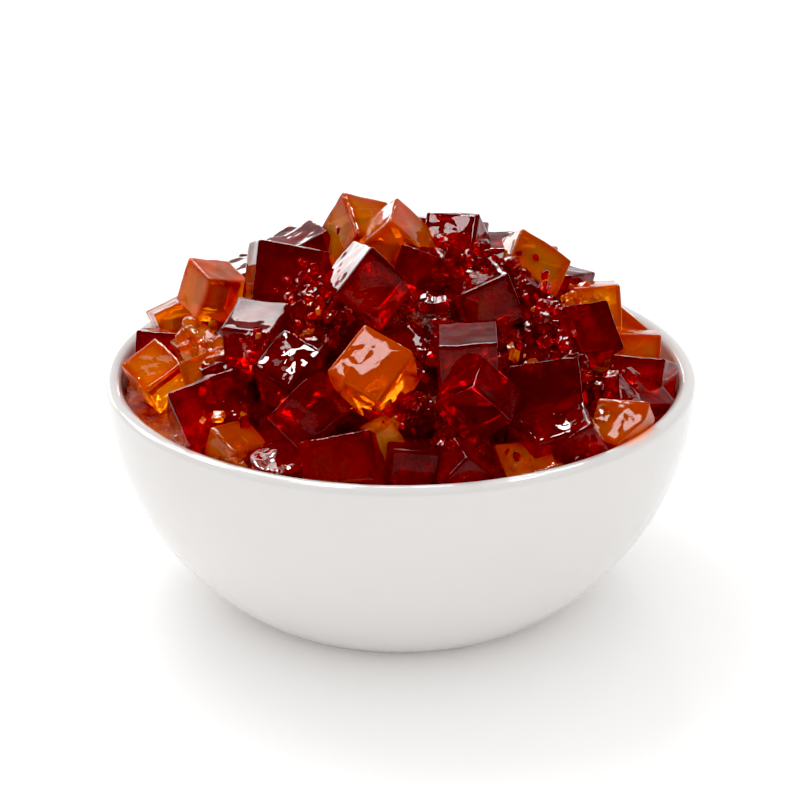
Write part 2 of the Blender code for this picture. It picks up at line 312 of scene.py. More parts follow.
class HeapSettings(bpy.types.PropertyGroup):
    """Shape of the dome that the cubes lie on, and of the gel core under them."""

    dome_radius: length_setting("Dome radius", "Radius at which the dome is back at its base", 0.062)
    dome_base: length_setting("Dome base", "Height of the cube centres at the dome's edge", 0.061)
    dome_rise: length_setting("Dome rise", "How far the dome's middle stands over its base", 0.031)
    core_depth: length_setting("Core depth", "How far the core lies under the cube centres", 0.008)
    gel_level: length_setting("Gel level", "Height of the melted gel at the bowl's wall", 0.053)
    cube_seed: bpy.props.IntProperty(
        name="Cube seed", description="Seed of the back cubes", default=11,
    )
    back_size: length_setting("Back cube size", "Mean side of a back cube", 0.014)
    back_sink: length_setting("Back sink", "How far the back cubes lie under the dome", 0.0035)
    gap: length_setting("Gap", "Between the jelly and the bowl's wall", 0.0004)
    edge_radius: bpy.props.FloatProperty(
        name="Edge radius", description="Rounding of a cube's edges, as a share of its side",
        default=0.05, min=0.0, max=0.3, subtype="FACTOR",
    )
    skew: length_setting("Skew", "How far a cube's corners stray from true", 0.0014)
    waviness: length_setting("Waviness", "Height of the waves on the cut faces", 0.00035)


class JellySettings(bpy.types.PropertyGroup):
    """Colours of the two jellies."""

    # Painted light: the ruby tint runs from painted shade at the tops of the cubes, through its own
    # tint, to painted glow at the lower edges.
    ruby_painted_shade: colour_setting(
        "Ruby, dark", "Tint of ruby jelly at the tops of the cubes", (0.50, 0.002, 0.001),
    )
    ruby_tint: colour_setting("Ruby tint", "Tint of ruby jelly", (0.95, 0.012, 0.004))
    ruby_painted_glow: colour_setting(
        "Ruby, pale", "Tint of ruby jelly at its thin lower edges", (1.0, 0.14, 0.012),
    )
    # Painted light: the amber tint runs from painted shade at the tops of the cubes, through its own
    # tint, to painted glow at the lower edges.
    amber_painted_shade: colour_setting(
        "Amber, dark", "Tint of amber jelly at the tops of the cubes", (0.90, 0.15, 0.01),
    )
    amber_tint: colour_setting("Amber tint", "Tint of amber jelly", (1.0, 0.31, 0.018))
    amber_painted_glow: colour_setting(
        "Amber, pale", "Tint of amber jelly at its thin lower edges", (1.0, 0.44, 0.05),
    )
    ruby_colour: colour_setting("Ruby", "What ruby jelly lets through", (0.5, 0.05, 0.03))
    ruby_density: bpy.props.FloatProperty(
        name="Ruby density", description="How fast ruby jelly darkens with depth", default=50.0,
    )
    amber_colour: colour_setting("Amber", "What amber jelly lets through", (0.95, 0.7, 0.35))
    amber_density: bpy.props.FloatProperty(
        name="Amber density", description="How fast amber jelly darkens with depth", default=12.0,
    )
    core_colour: colour_setting(
        "Core colour", "Colour of the packed jelly deep in the heap", (0.09, 0.004, 0.002),
    )


class CrumbSettings(bpy.types.PropertyGroup):
    """The broken jelly between the cubes."""

    seed: bpy.props.IntProperty(name="Seed", description="Seed of the crumbs", default=5)
    smallest: bpy.props.FloatProperty(
        name="Smallest", description="Smallest crumb as a share of the largest",
        default=0.25, min=0.05, max=1.0, subtype="FACTOR",
    )
    mixing: bpy.props.FloatProperty(
        name="Mixing", description="Share of pieces of another kind or form in each spot",
        default=0.02, min=0.0, max=1.0, subtype="FACTOR",
    )
    skew: length_setting("Skew", "How far the broken pieces bend out of true", 0.0035)
    waviness: length_setting("Waviness", "Height of the waves on the broken pieces", 0.0008)


class StageSettings(bpy.types.PropertyGroup):
    """The floor, the lights and the camera."""

    elevation: bpy.props.FloatProperty(
        name="Elevation", description="Angle of the camera's sight line over the bowl's middle",
        default=math.radians(25.0), subtype="ANGLE",
    )
    distance: length_setting("Distance", "From the camera to the bowl's middle", 0.600)
    tilt_up: bpy.props.FloatProperty(
        name="Tilt up", description="How far the camera looks over the bowl's middle",
        default=math.radians(1.74), subtype="ANGLE",
    )
    lens: length_setting("Lens", "Focal length on a 36 mm sensor", 0.1037)


# ---------------------------------------------------------------- helpers for nodes


class Tree:
    """Short calls for building one node tree."""

    def __init__(self, tree):
        self.tree = tree
        self.column = 0

    def add(self, kind, inputs=None, **settings):
        """Adds a node, sets its properties, and sets or links its inputs by name or number."""
        node = self.tree.nodes.new(kind)
        self.column += 1
        node.location = (180 * self.column, 0)
        for name, value in settings.items():
            setattr(node, name, value)
        for key, value in (inputs or {}).items():
            if isinstance(value, bpy.types.NodeSocket):
                self.tree.links.new(value, node.inputs[key])
            else:
                node.inputs[key].default_value = value
        return node

    def maths(self, operation, a, b=0.0, c=0.0):
        """One Math node's value."""
        return self.add("ShaderNodeMath", {0: a, 1: b, 2: c}, operation=operation).outputs[0]

    def vector(self, operation, a, b=(0.0, 0.0, 0.0)):
        """One Vector Math node's vector."""
        node = self.add("ShaderNodeVectorMath", {0: a, 1: b}, operation=operation)
        return node.outputs["Vector"]

    def scaled(self, vector, scale):
        """A vector times a number."""
        node = self.add("ShaderNodeVectorMath", {0: vector, "Scale": scale}, operation="SCALE")
        return node.outputs["Vector"]


def geometry_tree(name, inputs):
    """A Geometry Nodes tree with a geometry input, the named inputs and a geometry output."""
    group = bpy.data.node_groups.new(name, "GeometryNodeTree")
    face = group.interface
    face.new_socket("Geometry", in_out="INPUT", socket_type="NodeSocketGeometry")
    for label, kind in inputs:
        face.new_socket(label, in_out="INPUT", socket_type="NodeSocket" + kind)
    face.new_socket("Geometry", in_out="OUTPUT", socket_type="NodeSocketGeometry")
    tree = Tree(group)
    source = tree.add("NodeGroupInput")
    return tree, source.outputs


def end_tree(tree, geometry, material):
    """Ends a tree in real geometry with its material."""
    real = tree.add("GeometryNodeRealizeInstances", {0: geometry}).outputs[0]
    done = tree.add("GeometryNodeSetMaterial", {"Geometry": real, "Material": material})
    tree.add("NodeGroupOutput", {0: done.outputs[0]})
    return tree.tree


def grown(name, base, group, values):
    """Runs a tree on a mesh, and returns the plain mesh that it makes as a new object."""
    seedling = linked(name + "_base", base)
    modifier = seedling.modifiers.new("grow", "NODES")
    modifier.node_group = group
    sockets = {item.name: item.identifier for item in group.interface.items_tree
               if item.in_out == "INPUT"}
    for label, value in values.items():
        modifier[sockets[label]] = value
    bpy.context.view_layer.update()
    graph = bpy.context.evaluated_depsgraph_get()
    mesh = bpy.data.meshes.new_from_object(seedling.evaluated_get(graph))
    mesh.name = name
    bpy.data.objects.remove(seedling)
    return linked(name, mesh)


def linked(name, mesh):
    """A new object of the scene."""
    made = bpy.data.objects.new(name, mesh)
    bpy.context.scene.collection.objects.link(made)
    return made


def point_mesh(name, points, edges=()):
    """A mesh of loose points, or of a line through them."""
    mesh = bpy.data.meshes.new(name)
    mesh.from_pydata([tuple(p) for p in points], list(edges), [])
    return mesh


def put_attribute(mesh, name, kind, values):
    """Stores one value for each point."""
    layer = mesh.attributes.new(name, kind, "POINT")
    for item, value in zip(layer.data, values):
        if kind == "FLOAT_VECTOR":
            item.vector = value
        else:
            item.value = value


# ---------------------------------------------------------------- materials


def new_material(name):
    """A material with its node tree, its shader and its output."""
    made = bpy.data.materials.new(name)
    made.use_nodes = True
    nodes = made.node_tree.nodes
    tree = Tree(made.node_tree)
    return made, tree, nodes["Principled BSDF"], nodes["Material Output"]


def object_point(tree):
    """Object coordinates."""
    return tree.add("ShaderNodeTexCoord").outputs["Object"]


def noise(tree, point, scale, detail=2.0, roughness=0.5):
    """Noise from 0 to 1; scale is features per metre."""
    node = tree.add(
        "ShaderNodeTexNoise",
        {"Vector": point, "Scale": scale, "Detail": detail, "Roughness": roughness},
    )
    return node.outputs["Fac"]


def ramp(tree, value, stops):
    """A colour ramp through (position, colour) stops."""
    node = tree.add("ShaderNodeValToRGB", {"Fac": value})
    elements = node.color_ramp.elements
    while len(elements) < len(stops):
        elements.new(0.5)
    for element, (position, colour) in zip(elements, stops):
        element.position = position
        element.color = (*colour, 1.0)
    return node.outputs["Color"]


def bump(tree, height, distance):
    """Relief from a height of 0 to 1, which stands for a distance in metres."""
    inputs = {"Height": height, "Distance": distance, "Strength": 1.0}
    return tree.add("ShaderNodeBump", inputs).outputs["Normal"]


def glaze_material(settings):
    """White glaze: glossy under a clear coat, a little uneven in tone, gloss and surface."""
    made, tree, shader, _output = new_material("white_glaze_visual")
    point = object_point(tree)
    tone = noise(tree, point, GLAZE_TONE, 3.0)
    white = Vector(settings.glaze_colour)
    colour = ramp(tree, tone, ((0.3, white * 0.985), (0.7, white)))
    tree.tree.links.new(colour, shader.inputs["Base Color"])
    sheen = tree.maths("MULTIPLY_ADD", noise(tree, point, GLAZE_GLOSS), 0.06, 0.10)
    tree.tree.links.new(sheen, shader.inputs["Roughness"])
    waves = bump(tree, noise(tree, point, GLAZE_WAVES, 1.0), GLAZE_RELIEF)
    tree.tree.links.new(waves, shader.inputs["Normal"])
    shader.inputs["Coat Weight"].default_value = 0.3
    shader.inputs["Coat Roughness"].default_value = 0.05
    return made


def jelly_material(name, tints, depth_colour, density, milk, skin):
    """Jelly that filters light by depth, with a share of milk in it, under a rippled skin.
    Each piece pales from its top to its lower side, as painted shade on its top and painted
    glow on its lower side, and is darker along its edges as painted shade; some pieces are
    paler than others, partly in their own tint and partly as painted light."""
    made, tree, shader, output = new_material(name)
    point = object_point(tree)
    centre = tree.add("ShaderNodeAttribute", attribute_name="centre").outputs["Vector"]
    shade = tree.add("ShaderNodeAttribute", attribute_name="shade").outputs["Fac"]
    # Painted light: the tint pales from each piece's top to its lower side, as painted shade above and
    # painted glow below.
    painted_light_below = tree.add("ShaderNodeVectorMath", {
        0: tree.vector("SUBTRACT", point, centre), 1: PAINTED_LIGHT_WAY,
    }, operation="DOT_PRODUCT").outputs["Value"]
    painted_light_and_clouds = tree.maths("ADD", painted_light_below, noise(tree, point, JELLY_CLOUDS, 3.0))
    edge = tree.add("ShaderNodeAttribute", attribute_name="edge").outputs["Fac"]
    # Painted shade along each piece's edges.
    painted_edge_shade = tree.maths("POWER", tree.maths("MAXIMUM", edge, 0.0), PAINTED_EDGE_SHADE_SHARPNESS)
    shaded = tree.maths("MULTIPLY_ADD", shade, SHADE_SHARE, painted_light_and_clouds)
    pale = tree.maths("MULTIPLY_ADD", painted_edge_shade, PAINTED_EDGE_SHADE_DARKNESS, shaded)
    body = ramp(tree, pale, ((0.1, tints[0]), (0.5, tints[1]), (0.95, tints[2])))
    tree.tree.links.new(body, shader.inputs["Base Color"])
    shader.inputs["Transmission Weight"].default_value = 1.0 - milk
    shader.inputs["IOR"].default_value = skin["ior"]
    shader.inputs["Specular IOR Level"].default_value = skin["specular"]
    sheen = tree.maths("MULTIPLY_ADD", noise(tree, point, JELLY_GLOSS), 0.05, 0.01)
    tree.tree.links.new(sheen, shader.inputs["Roughness"])
    still = tree.maths("MULTIPLY_ADD", noise(tree, point, JELLY_STILLNESS, 1.0), 2.6, -0.9)
    waves = noise(tree, point, skin["ripples"], 1.5)
    ripples = tree.maths("MULTIPLY", waves, tree.maths("MAXIMUM", still, skin["least"]))
    tree.tree.links.new(bump(tree, ripples, skin["height"]), shader.inputs["Normal"])
    depth = tree.add("ShaderNodeVolumeAbsorption")
    depth.inputs["Color"].default_value = (*depth_colour, 1.0)
    depth.inputs["Density"].default_value = density
    tree.tree.links.new(depth.outputs["Volume"], output.inputs["Volume"])
    return made


def core_material(colour):
    """Packed jelly deep in the heap: dark and wet, blotched with amber, and brighter low
    down by the rim as painted glow.
    """
    made, tree, shader, _output = new_material("jelly_core_visual")
    point = object_point(tree)
    height = tree.add("ShaderNodeSeparateXYZ", {0: point}).outputs[2]
    # Painted glow: the core is paler lower down, by the rim.
    low = tree.maths("MULTIPLY_ADD", height, CORE_PAINTED_GLOW_PER_METRE_UP, CORE_PAINTED_GLOW_AT_TABLE)
    blotches = noise(tree, point, CORE_BLOTCHES, 4.0, 0.6)
    blotches_and_painted_glow = tree.maths("ADD", blotches, tree.maths("MAXIMUM", low, 0.0))
    dark = Vector(colour)
    tint = ramp(tree, blotches_and_painted_glow, (
        (0.35, dark * 0.5), (0.55, dark), (0.72, (0.34, 0.02, 0.005)), (0.9, (0.60, 0.10, 0.012)),
    ))
    tree.tree.links.new(tint, shader.inputs["Base Color"])
    sheen = tree.maths("MULTIPLY_ADD", noise(tree, point, CORE_GLOSS), 0.08, 0.03)
    tree.tree.links.new(sheen, shader.inputs["Roughness"])
    relief = bump(tree, noise(tree, point, CORE_GRAIN, 4.0, 0.65), CORE_GRAIN_RELIEF)
    tree.tree.links.new(relief, shader.inputs["Normal"])
    shader.inputs["IOR"].default_value = 1.34
    shader.inputs["Specular IOR Level"].default_value = 0.8
    return made


# ---------------------------------------------------------------- the bowl


def arc(centre, radius, start, end, steps):
    """Points of an arc in the (radius, height) plane, with both ends; angles in degrees."""
    angles = [math.radians(start + (end - start) * i / steps) for i in range(steps + 1)]
    return [(centre[0] + radius * math.cos(a), centre[1] + radius * math.sin(a)) for a in angles]


def wall_depth(bowl):
    """The vertical half-axis of the outer wall's ellipse, which meets the foot at z = 0."""
    return (bowl.height - bowl.wall / 2) / math.sqrt(1 - (bowl.foot_radius / bowl.rim_radius) ** 2)


def wall_radius(bowl, height, inset=0.0):
    """Radius of the elliptical wall at a height, moved in from its outer face by inset."""
    drop = (bowl.height - bowl.wall / 2 - height) / (wall_depth(bowl) - inset)
    return (bowl.rim_radius - inset) * math.sqrt(max(0.0, 1 - drop * drop))


def wall_points(bowl, low, high, inset, steps):
    """Points down a wall from high to low, closer together where the wall curves most."""
    heights = [low + (high - low) * math.cos(math.pi / 2 * i / steps) for i in range(steps + 1)]
    return [(wall_radius(bowl, z, inset), z) for z in heights]


def inside_profile(bowl):
    """The inside from just under the lip to the axis."""
    top = bowl.height - bowl.wall / 2
    wall = wall_points(bowl, bowl.floor_level + CORNER_RISE, top, bowl.wall, WALL_STEPS)
    start, end = Vector(wall[-1]), Vector((FLOOR_RADIUS, bowl.floor_level))
    corner = Vector((wall_radius(bowl, bowl.floor_level, bowl.wall) - MM, bowl.floor_level))
    rounded = []
    for i in range(1, CORNER_STEPS + 1):
        t = i / CORNER_STEPS
        rounded.append(tuple(start.lerp(corner, t).lerp(corner.lerp(end, t), t)))
    return wall + rounded + [(FLOOR_RADIUS / 2, bowl.floor_level), (0.0, bowl.floor_level)]


def bowl_profile(bowl):
    """Half section: up the inside from the axis, over the lip and down to the foot."""
    lip_radius = bowl.wall / 2
    lip_centre = (bowl.rim_radius - lip_radius, bowl.height - lip_radius)
    lip = arc(lip_centre, lip_radius, 180, 0, LIP_STEPS)[1:-1]
    outside = wall_points(bowl, FOOT_EDGE, lip_centre[1], 0.0, OUTSIDE_STEPS)
    ring = bowl.foot_radius - FOOT_EDGE
    foot = arc((ring - FOOT_DRAFT, FOOT_EDGE), FOOT_EDGE, -20, -90, FOOT_STEPS)
    inner = ring - FOOT_RING
    under = [(inner - inward, rise) for inward, rise in FOOT_UNDERSIDE]
    under.append((0.0, FOOT_RECESS))
    return inside_profile(bowl)[::-1] + lip + outside + foot + under


def turning_tree():
    """Turns a line of points in the XZ plane round Z into a closed shell, with an optional
    relief that is pushed out along its normals."""
    tree, inputs = geometry_tree("turned_shell", (
        ("Segments", "Int"), ("Relief", "Float"), ("Relief scale", "Float"), ("Material", "Material"),
    ))
    count = tree.add("GeometryNodeAttributeDomainSize", {0: inputs["Geometry"]}).outputs["Point Count"]
    around = tree.maths("ADD", inputs["Segments"], 1.0)
    grid = tree.add("GeometryNodeMeshGrid", {
        "Size X": 1.0, "Size Y": 1.0, "Vertices X": around, "Vertices Y": count,
    }).outputs["Mesh"]
    place = tree.add("GeometryNodeInputPosition").outputs[0]
    axes = tree.add("ShaderNodeSeparateXYZ", {0: place})
    angle = tree.maths("MULTIPLY", tree.maths("ADD", axes.outputs[0], 0.5), 2 * math.pi)
    last = tree.maths("SUBTRACT", count, 1.0)
    row = tree.maths("ROUND", tree.maths("MULTIPLY", tree.maths("ADD", axes.outputs[1], 0.5), last))
    sampled = tree.add("GeometryNodeSampleIndex", {
        "Geometry": inputs["Geometry"], "Value": place, "Index": row,
    }, data_type="FLOAT_VECTOR").outputs[0]
    turned = tree.add("ShaderNodeVectorRotate", {"Vector": sampled, "Angle": angle},
                      rotation_type="Z_AXIS").outputs[0]
    shell = tree.add("GeometryNodeSetPosition", {"Geometry": grid, "Position": turned}).outputs[0]
    shell = tree.add("GeometryNodeMergeByDistance", {"Geometry": shell, "Distance": 1e-6}).outputs[0]
    lumps = noise(tree, place, inputs["Relief scale"], 3.0, 0.6)
    height = tree.maths("MULTIPLY", tree.maths("SUBTRACT", lumps, 0.5), inputs["Relief"])
    normal = tree.add("GeometryNodeInputNormal").outputs[0]
    shell = tree.add("GeometryNodeSetPosition", {
        "Geometry": shell, "Offset": tree.scaled(normal, height),
    }).outputs[0]
    shell = tree.add("GeometryNodeSetShadeSmooth", {"Geometry": shell}).outputs[0]
    return end_tree(tree, shell, inputs["Material"])


def profile_mesh(name, profile):
    """A (radius, height) profile as a line of points in the XZ plane."""
    return point_mesh(name, [(r, 0.0, z) for r, z in profile],
                      [(i, i + 1) for i in range(len(profile) - 1)])


class JELLY_OT_bowl(bpy.types.Operator):
    """Turn the white glazed bowl"""

    bl_idname = "jelly.bowl"
    bl_label = "Bowl"

    def execute(self, context):
        bowl = context.scene.jelly_bowl
        line = profile_mesh("bowl_profile", bowl_profile(bowl))
        piece = grown("glazed_bowl", line, turning_tree(), {
            "Segments": bowl.segments, "Relief": 0.0, "Relief scale": 1.0,
            "Material": glaze_material(bowl),
        })
        face_out(piece)
        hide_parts("bowl")
        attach(piece, "root")
        return {"FINISHED"}


def face_out(piece):
    """Turns a closed shell's faces outwards."""
    mesh = bmesh.new()
    mesh.from_mesh(piece.data)
    bmesh.ops.remove_doubles(mesh, verts=mesh.verts, dist=1e-6)
    bmesh.ops.recalc_face_normals(mesh, faces=mesh.faces)
    mesh.to_mesh(piece.data)
    mesh.free()


# ---------------------------------------------------------------- the heap


def dome(heap, radius):
    """Height of the cube centres at a distance from the axis."""
    return heap.dome_base + heap.dome_rise * (1 - (radius / heap.dome_radius) ** 2)


def core_profile(bowl, heap):
    """The core: a mound under the cubes that fills the bowl down to its floor."""
    widest = wall_radius(bowl, heap.gel_level, bowl.wall + heap.gap)
    top = []
    for i in range(CORE_TOP_STEPS + 1):
        r = widest * i / CORE_TOP_STEPS
        top.append((r, max(heap.gel_level, dome(heap, r) - heap.core_depth)))
    inset = bowl.wall + heap.gap + CORE_INSET
    corner = bowl.floor_level + CORE_CORNER_RISE
    wall = wall_points(bowl, corner, heap.gel_level - CORE_LIFT, inset, CORE_WALL_STEPS)
    low = bowl.floor_level + CORE_LIFT
    return top + wall + [(CORE_FLOOR_RADIUS, low), (0.0, low)]


class JELLY_OT_core(bpy.types.Operator):
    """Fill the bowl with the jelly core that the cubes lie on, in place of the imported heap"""

    bl_idname = "jelly.core"
    bl_label = "Core"

    def execute(self, context):
        bowl = context.scene.jelly_bowl
        heap = context.scene.jelly_heap
        colour = context.scene.jelly_colours.core_colour
        line = profile_mesh("core_profile", core_profile(bowl, heap))
        piece = grown("jelly_core", line, turning_tree(), {
            "Segments": CORE_SEGMENTS, "Relief": CORE_RELIEF, "Relief scale": CORE_RELIEF_SCALE,
            "Material": core_material(colour),
        })
        face_out(piece)
        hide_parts("jelly_heap")
        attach(piece, "root")
        return {"FINISHED"}


def leaning(turn, lean, towards):
    """A turn about Z, then a lean of the top towards a direction; all in degrees."""
    direction = math.radians(towards)
    axis = Vector((-math.sin(direction), math.cos(direction), 0.0))
    tip = Matrix.Rotation(math.radians(lean), 3, axis)
    return tip @ Matrix.Rotation(math.radians(turn), 3, "Z")


def back_cubes(heap):
    """Kind, centre, turning, size and shade of each cube of the back, row by row."""
    rng = random.Random(heap.cube_seed)
    placed = []
    for radius, count in BACK_ROWS:
        for i in range(count):
            angle = math.radians(BACK_FROM + (BACK_TO - BACK_FROM) * (i + 0.5) / count)
            out = radius + rng.uniform(-BACK_SHIFT, BACK_SHIFT) * MM
            level = dome(heap, radius) - heap.back_sink
            height = level + rng.uniform(-BACK_SHIFT, BACK_SHIFT) * MM
            centre = Vector((out * math.cos(angle), out * math.sin(angle), height))
            lean = BACK_LEAN * radius / heap.dome_radius
            lean += rng.uniform(-BACK_LEAN_JITTER, BACK_LEAN_JITTER)
            towards = math.degrees(angle)
            towards += rng.uniform(-BACK_TOWARDS_JITTER, BACK_TOWARDS_JITTER)
            turning = leaning(rng.uniform(-BACK_TURN, BACK_TURN), lean, towards)
            size = [heap.back_size + rng.uniform(-BACK_SIZE_JITTER, BACK_SIZE_JITTER) * MM
                    for _ in range(3)]
            kind = "amber" if (i + 2 * count) % 3 == 0 else "ruby"
            placed.append((kind, centre, turning, size, 0.0))
    return placed


def all_cubes(heap):
    """Kind, centre, turning, size and shade of every cube."""
    placed = []
    for kind, across, back, up, turn, lean, towards, *size, shade in CUBES:
        centre = Vector((across, back, up)) * MM
        placed.append((kind, centre, leaning(turn, lean, towards), [s * MM for s in size], shade))
    return placed + back_cubes(heap)


def scattered(tree, inputs, lump):
    """Sets a lump on each point by its turning and size, and makes the copies real."""
    turning = tree.add("GeometryNodeInputNamedAttribute", {"Name": "turning"}, data_type="FLOAT_VECTOR")
    size = tree.add("GeometryNodeInputNamedAttribute", {"Name": "size"}, data_type="FLOAT_VECTOR")
    rotation = tree.add("FunctionNodeEulerToRotation", {0: turning.outputs[0]}).outputs[0]
    copies = tree.add("GeometryNodeInstanceOnPoints", {
        "Points": inputs["Geometry"], "Instance": lump,
        "Rotation": rotation, "Scale": size.outputs[0],
    }).outputs[0]
    return tree.add("GeometryNodeRealizeInstances", {0: copies}).outputs[0]


def made_uneven(tree, inputs, pieces):
    """Bends the pieces out of true, ripples their faces, and keeps them inside the bowl."""
    place = tree.add("GeometryNodeInputPosition").outputs[0]
    skewed = tree.add("ShaderNodeTexNoise", {"Vector": place, "Scale": SKEW_SCALE, "Detail": 1.0})
    stray = tree.vector("SUBTRACT", skewed.outputs["Color"], (0.5, 0.5, 0.5))
    pieces = tree.add("GeometryNodeSetPosition", {
        "Geometry": pieces, "Offset": tree.scaled(stray, inputs["Skew"]),
    }).outputs[0]
    waves = tree.maths("SUBTRACT", noise(tree, place, WAVE_SCALE), 0.5)
    height = tree.maths("MULTIPLY", waves, inputs["Waviness"])
    normal = tree.add("GeometryNodeInputNormal").outputs[0]
    pieces = tree.add("GeometryNodeSetPosition", {
        "Geometry": pieces, "Offset": tree.scaled(normal, height),
    }).outputs[0]
    axes = tree.add("ShaderNodeSeparateXYZ", {0: place})
    flat = tree.vector("MULTIPLY", place, (1.0, 1.0, 0.0))
    reach = tree.add("ShaderNodeVectorMath", {0: flat}, operation="LENGTH").outputs["Value"]
    drop = tree.maths("SUBTRACT", inputs["Rim level"], axes.outputs[2])
    share = tree.maths("DIVIDE", tree.maths("MAXIMUM", drop, 0.0), inputs["Room depth"])
    round_in = tree.maths("SQRT", tree.maths("SUBTRACT", 1.0, tree.maths("MULTIPLY", share, share)))
    over = tree.maths("MULTIPLY", tree.maths("MINIMUM", drop, 0.0), ROOM_OVER_RIM)
    room = tree.maths("MULTIPLY_ADD", round_in, inputs["Room radius"], over)
    pull = tree.maths("MINIMUM", 1.0, tree.maths("DIVIDE", room, tree.maths("MAXIMUM", reach, MM)))
    squeeze = tree.add("ShaderNodeCombineXYZ", {0: pull, 1: pull, 2: 1.0}).outputs[0]
    pieces = tree.add("GeometryNodeSetPosition", {
        "Geometry": pieces, "Position": tree.vector("MULTIPLY", place, squeeze),
    }).outputs[0]
    return tree.add("GeometryNodeSetShadeSmooth", {"Geometry": pieces}).outputs[0]


LUMP_INPUTS = (
    ("Edge radius", "Float"), ("Skew", "Float"), ("Waviness", "Float"), ("Rim level", "Float"),
    ("Room depth", "Float"), ("Room radius", "Float"), ("Material", "Material"),
)


def block_tree(name, steps):
    """Sets a block with softened edges on each point, then makes each uneven."""
    tree, inputs = geometry_tree(name, LUMP_INPUTS)
    block = tree.add("GeometryNodeMeshCube", {
        "Size": (1.0, 1.0, 1.0), "Vertices X": steps, "Vertices Y": steps, "Vertices Z": steps,
    }).outputs["Mesh"]
    block = tree.add("GeometryNodeMergeByDistance", {"Geometry": block, "Distance": 1e-4}).outputs[0]
    place = tree.add("GeometryNodeInputPosition").outputs[0]
    spread = tree.scaled(tree.vector("SINE", tree.scaled(place, math.pi)), 0.5)
    inner = tree.maths("SUBTRACT", 0.5, inputs["Edge radius"])
    most = tree.add("ShaderNodeCombineXYZ", {0: inner, 1: inner, 2: inner}).outputs[0]
    least = tree.scaled(most, -1.0)
    clamped = tree.vector("MAXIMUM", tree.vector("MINIMUM", spread, most), least)
    outward = tree.vector("NORMALIZE", tree.vector("SUBTRACT", spread, clamped))
    rounded = tree.vector("ADD", clamped, tree.scaled(outward, inputs["Edge radius"]))
    block = tree.add("GeometryNodeSetPosition", {"Geometry": block, "Position": rounded}).outputs[0]
    far = tree.add("ShaderNodeSeparateXYZ", {0: tree.vector("ABSOLUTE", spread)}).outputs
    most_far = tree.maths("MAXIMUM", tree.maths("MAXIMUM", far[0], far[1]), far[2])
    least_far = tree.maths("MINIMUM", tree.maths("MINIMUM", far[0], far[1]), far[2])
    total = tree.maths("ADD", tree.maths("ADD", far[0], far[1]), far[2])
    edge = tree.maths("SUBTRACT", tree.maths("SUBTRACT", total, most_far), least_far)
    # Closeness to an edge, where the jelly's material lays painted shade.
    block = tree.add("GeometryNodeStoreNamedAttribute", {
        "Geometry": block, "Name": "edge", "Value": tree.maths("MULTIPLY", edge, 2.0),
    }, data_type="FLOAT", domain="POINT").outputs[0]
    pieces = made_uneven(tree, inputs, scattered(tree, inputs, block))
    return end_tree(tree, pieces, inputs["Material"])


def blob_tree():
    """Sets a rounded lump on each point, then makes each uneven."""
    tree, inputs = geometry_tree("broken_blobs", LUMP_INPUTS)
    lump = tree.add("GeometryNodeMeshIcoSphere", {
        "Radius": 0.5, "Subdivisions": BLOB_SUBDIVISIONS,
    }).outputs["Mesh"]
    pieces = made_uneven(tree, inputs, scattered(tree, inputs, lump))
    return end_tree(tree, pieces, inputs["Material"])


def kind_material(colours, kind, wet):
    """The jelly of a kind: as cut cubes, or as wet crumbs whose torn skin ripples more."""
    name = kind + ("_crumb_jelly" if wet else "_cube_jelly")
    if name in bpy.data.materials:
        return bpy.data.materials[name]
    skin = WET_SKIN if wet else CUT_SKIN
    if kind == "ruby":
        tints = (colours.ruby_painted_shade, colours.ruby_tint, colours.ruby_painted_glow)
        depth = (colours.ruby_colour, colours.ruby_density)
        return jelly_material(name, tints, *depth, RUBY_MILK, skin)
    tints = (colours.amber_painted_shade, colours.amber_tint, colours.amber_painted_glow)
    depth = (colours.amber_colour, colours.amber_density)
    return jelly_material(name, tints, *depth, AMBER_MILK, skin)


def lay_pieces(scene, name, kind, tree, laid, wet, values):
    """Grows a tree on the points of the laid pieces, and makes one piece of the dish of them."""
    bowl, heap = scene.jelly_bowl, scene.jelly_heap
    places, turnings, sizes, shades = zip(*laid)
    base = point_mesh(name + "_points", places)
    put_attribute(base, "centre", "FLOAT_VECTOR", places)
    put_attribute(base, "turning", "FLOAT_VECTOR", turnings)
    put_attribute(base, "size", "FLOAT_VECTOR", sizes)
    put_attribute(base, "shade", "FLOAT", shades)
    rim = bowl.height - bowl.wall / 2
    inset = bowl.wall + heap.gap
    piece = grown(name, base, tree, {
        "Edge radius": heap.edge_radius, "Rim level": rim,
        "Room depth": wall_depth(bowl) - inset, "Room radius": bowl.rim_radius - inset,
        "Material": kind_material(scene.jelly_colours, kind, wet), **values,
    })
    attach(piece, "root")


class JELLY_OT_cubes(bpy.types.Operator):
    """Lay the cut cubes, one piece for each kind of jelly"""

    bl_idname = "jelly.cubes"
    bl_label = "Cut cubes"

    def execute(self, context):
        scene = context.scene
        heap = scene.jelly_heap
        tree = block_tree("cut_cubes", CUBE_STEPS)
        for kind in ("ruby", "amber"):
            laid = [(centre, turning.to_euler(), size, shade)
                    for cube_kind, centre, turning, size, shade in all_cubes(heap)
                    if cube_kind == kind]
            lay_pieces(scene, kind + "_cubes", kind, tree, laid, False,
                       {"Skew": heap.skew, "Waviness": heap.waviness})
        return {"FINISHED"}


